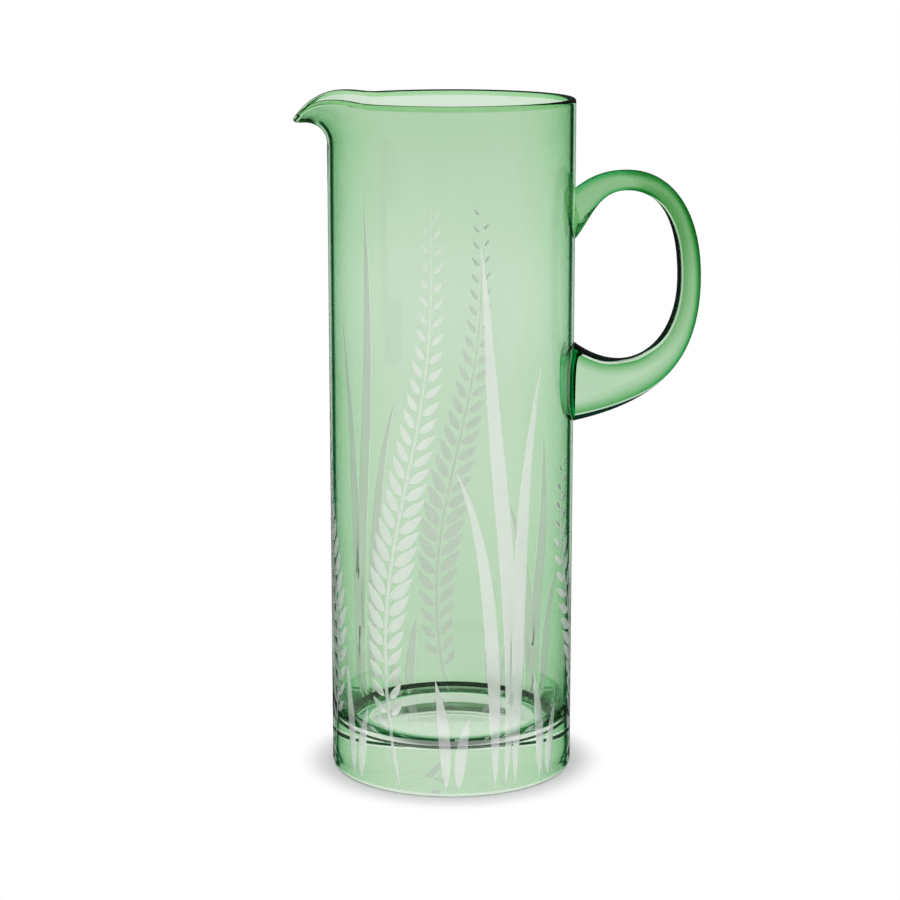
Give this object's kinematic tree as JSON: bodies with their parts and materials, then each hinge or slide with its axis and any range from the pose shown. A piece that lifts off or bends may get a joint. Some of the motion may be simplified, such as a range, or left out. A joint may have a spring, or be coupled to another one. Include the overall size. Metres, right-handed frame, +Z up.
{
  "type": "jug",
  "caption": "Tall straight cased-glass jug with a thick clear base, a thin green outer layer, a pulled pouring lip and an applied ear handle.",
  "frame": {"origin": "centre of the flat underside of the base", "axes": "+Z up along the body's axis, -X towards the pouring lip, +X towards the handle"},
  "size_m": [0.1648, 0.1, 0.2787],
  "materials": {
    "clear_glass": "clear, fire-polished, ground flat underneath",
    "green_glass": "thin green overlay, polished, with frosted cuts through to clear glass",
    "handle_glass": "pale green, fire-polished"
  },
  "bodies": {
    "root": {"clear_vessel": "clear_glass", "green_casing": "green_glass", "handle": "handle_glass"}
  },
  "joints": []
}
